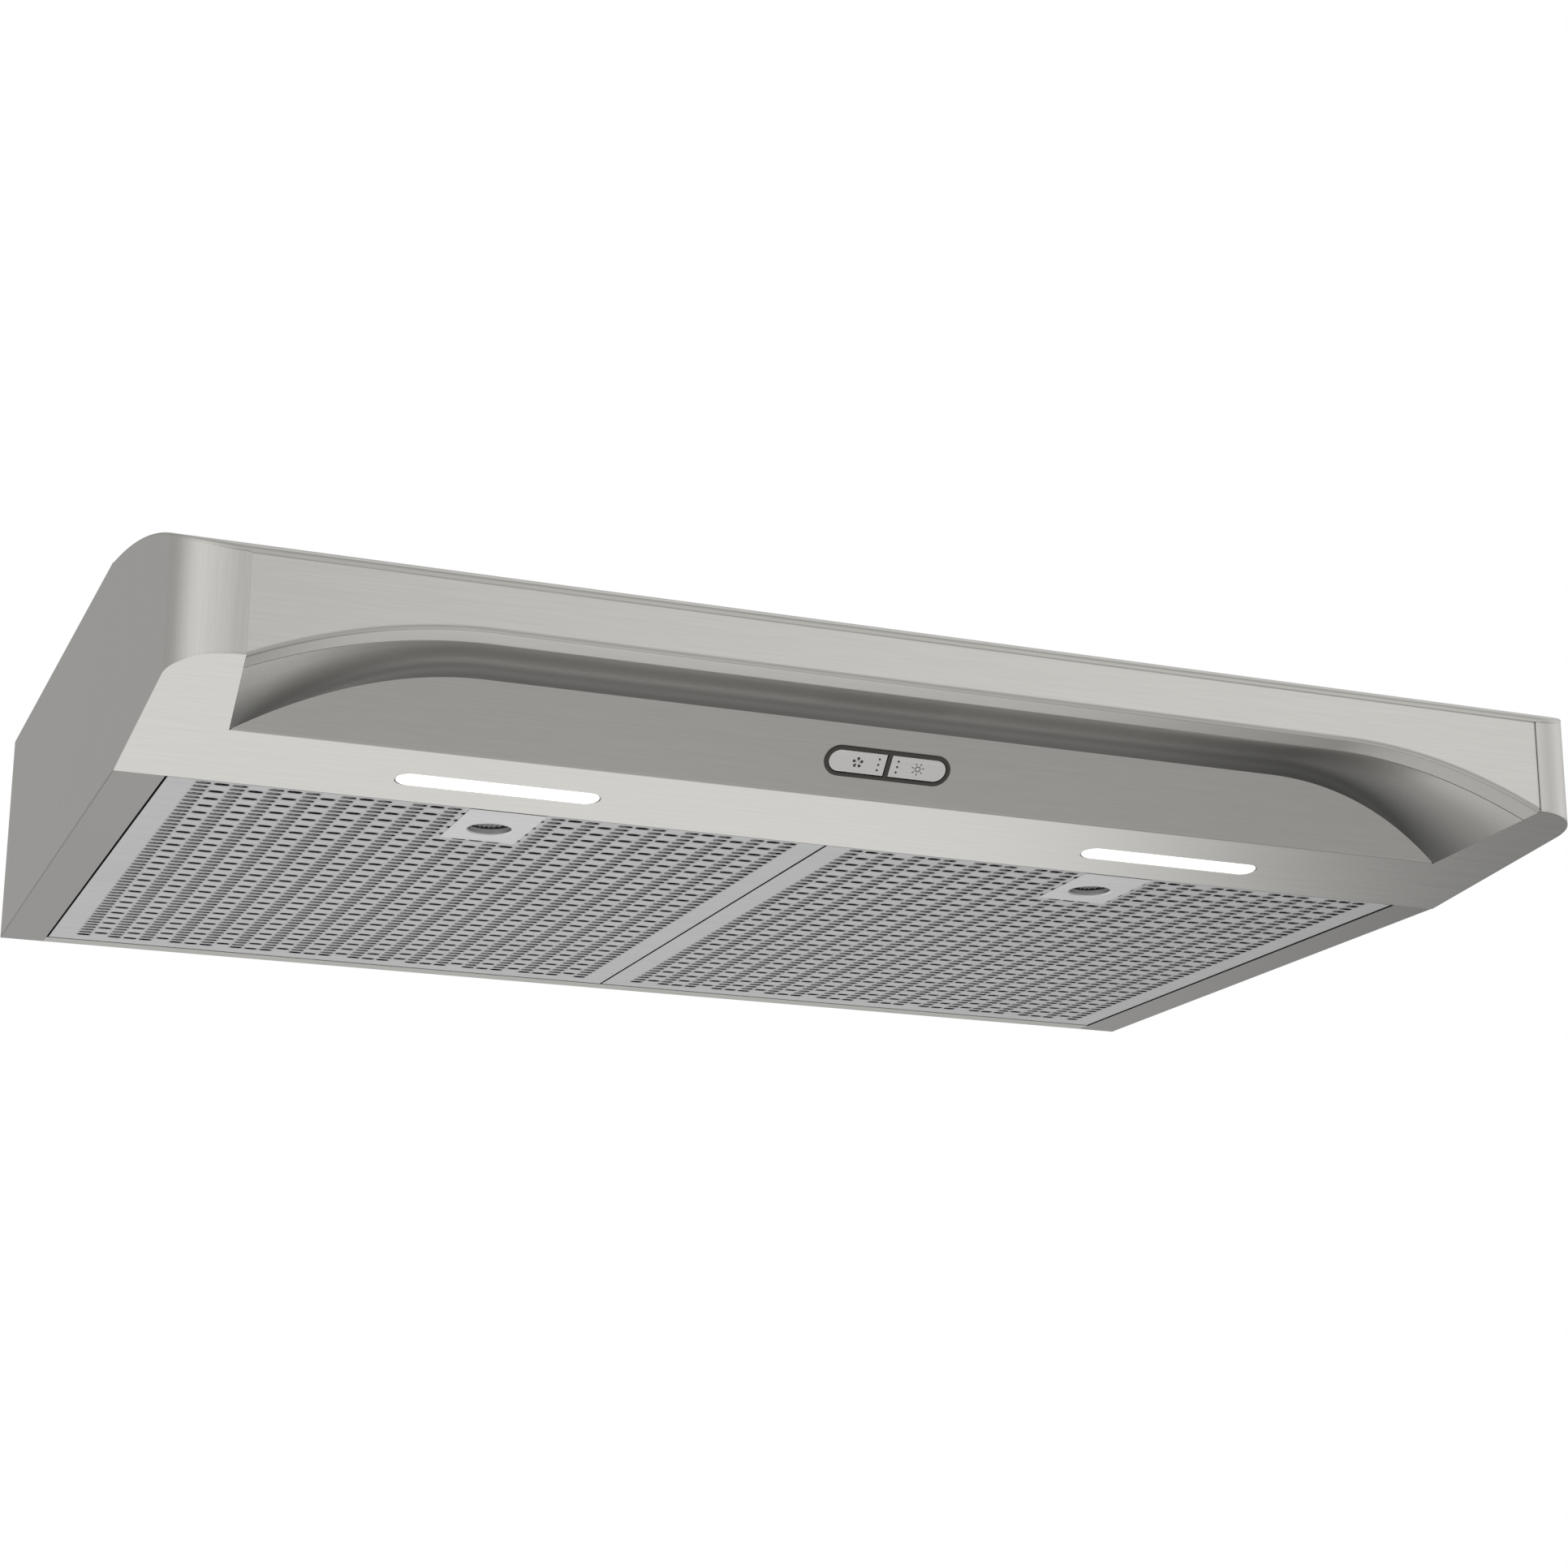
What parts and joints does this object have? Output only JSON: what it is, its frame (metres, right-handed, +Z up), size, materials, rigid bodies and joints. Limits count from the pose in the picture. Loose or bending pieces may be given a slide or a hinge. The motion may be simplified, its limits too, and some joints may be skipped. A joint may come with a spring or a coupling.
{
  "type": "under-cabinet range hood",
  "caption": "Wide, shallow kitchen hood that hangs under a cabinet, with a scooped front, key panel, lights, grease filters, blower and duct collar.",
  "frame": {"origin": "centre of the cabinet screw holes, on the top face that meets the cabinet", "axes": "+X across the hood to the viewer's right, -Y towards the cook, +Z up into the cabinet"},
  "size_m": [0.759, 0.55, 0.162],
  "materials": {
    "side_steel": "brushed, upright grain",
    "shell_steel": "brushed, grain across",
    "front_steel": "brushed, grain across",
    "galvanised_steel": "galvanised sheet, matt",
    "key_rim": "dark satin",
    "key_cap": "satin grey",
    "circuit_board": "solder mask",
    "black_plastic": "moulded",
    "lens": "frosted, lit from behind",
    "light_board": "white solder mask",
    "white_plastic": "moulded",
    "motor_paint": "satin",
    "bright_steel": "zinc plated",
    "ground_green": "green dye",
    "filter_face": "perforated, bright",
    "filter_frame": "plain",
    "filter_mesh": "expanded mesh",
    "latch": "cross-hatched pad"
  },
  "bodies": {
    "root": {"left_side_panel": "side_steel", "right_side_panel": "side_steel", "top_panel": "shell_steel", "visor_cover": "shell_steel", "back_panel": "side_steel", "front_face_panel": "front_steel", "scoop_liner": "front_steel", "control_panel": "front_steel", "light_band": "front_steel", "front_cross_member": "galvanised_steel", "rear_cross_member": "galvanised_steel", "key_surround": "key_rim", "control_board": "circuit_board", "control_switches": "black_plastic", "control_standoffs": "white_plastic", "left_light_lens": "lens", "right_light_lens": "lens", "left_light_board": "light_board", "right_light_board": "light_board", "left_light_tray": "white_plastic", "right_light_tray": "white_plastic", "light_driver": "white_plastic", "blower_housing": "galvanised_steel", "inlet_plate": "galvanised_steel", "motor": "motor_paint", "motor_capacitor": "white_plastic", "capacitor_clamp": "galvanised_steel", "outlet_plenum": "galvanised_steel", "duct_collar": "galvanised_steel", "wiring_box": "galvanised_steel", "wiring_box_cover": "galvanised_steel", "terminal_block": "white_plastic", "ground_screw": "ground_green", "collar_screws": "bright_steel", "wiring_cover_screws": "bright_steel"},
    "blower": {"blower_wheel": "black_plastic", "motor_shaft": "bright_steel"},
    "damper": {"damper_flap": "galvanised_steel", "damper_pin": "bright_steel"},
    "fan_key": {"fan_key": "key_cap"},
    "light_key": {"light_key": "key_cap"},
    "left_filter": {"left_filter_face": "filter_face", "left_filter_frame": "filter_frame", "left_filter_mesh": "filter_mesh", "left_filter_back": "filter_frame", "left_latch_plate": "filter_face", "left_hinge_tabs": "filter_frame"},
    "left_latch": {"left_latch": "latch"},
    "right_filter": {"right_filter_face": "filter_face", "right_filter_frame": "filter_frame", "right_filter_mesh": "filter_mesh", "right_filter_back": "filter_frame", "right_latch_plate": "filter_face", "right_hinge_tabs": "filter_frame"},
    "right_latch": {"right_latch": "latch"}
  },
  "joints": [
    {"name": "blower_spin", "type": "hinge", "parent": "root", "child": "blower", "pos_m": [0, -0.0514, -0.04], "axis": [0, 0, 1], "continuous": true},
    {"name": "damper_swing", "type": "hinge", "parent": "root", "child": "damper", "pos_m": [0, 0.0659, 0.012], "axis": [1, 0, 0], "range_deg": [0, 80]},
    {"name": "fan_key_press", "type": "slide", "parent": "root", "child": "fan_key", "axis": [0, 0.757, 0.6534], "range_m": [0, 0.0012], "stiffness_N_per_m": 500, "springref_m": -0.001},
    {"name": "light_key_press", "type": "slide", "parent": "root", "child": "light_key", "axis": [0, 0.757, 0.6534], "range_m": [0, 0.0012], "stiffness_N_per_m": 500, "springref_m": -0.001},
    {"name": "left_filter_swing", "type": "hinge", "parent": "root", "child": "left_filter", "pos_m": [-0.1772, 0.1575, -0.1235], "axis": [1, 0, 0], "range_deg": [0, 80]},
    {"name": "left_latch_slide", "type": "slide", "parent": "left_filter", "child": "left_latch", "axis": [0, 1, 0], "range_m": [0, 0.006], "stiffness_N_per_m": 300, "springref_m": -0.003},
    {"name": "right_filter_swing", "type": "hinge", "parent": "root", "child": "right_filter", "pos_m": [0.1772, 0.1575, -0.1235], "axis": [1, 0, 0], "range_deg": [0, 80]},
    {"name": "right_latch_slide", "type": "slide", "parent": "right_filter", "child": "right_latch", "axis": [0, 1, 0], "range_m": [0, 0.006], "stiffness_N_per_m": 300, "springref_m": -0.003}
  ]
}
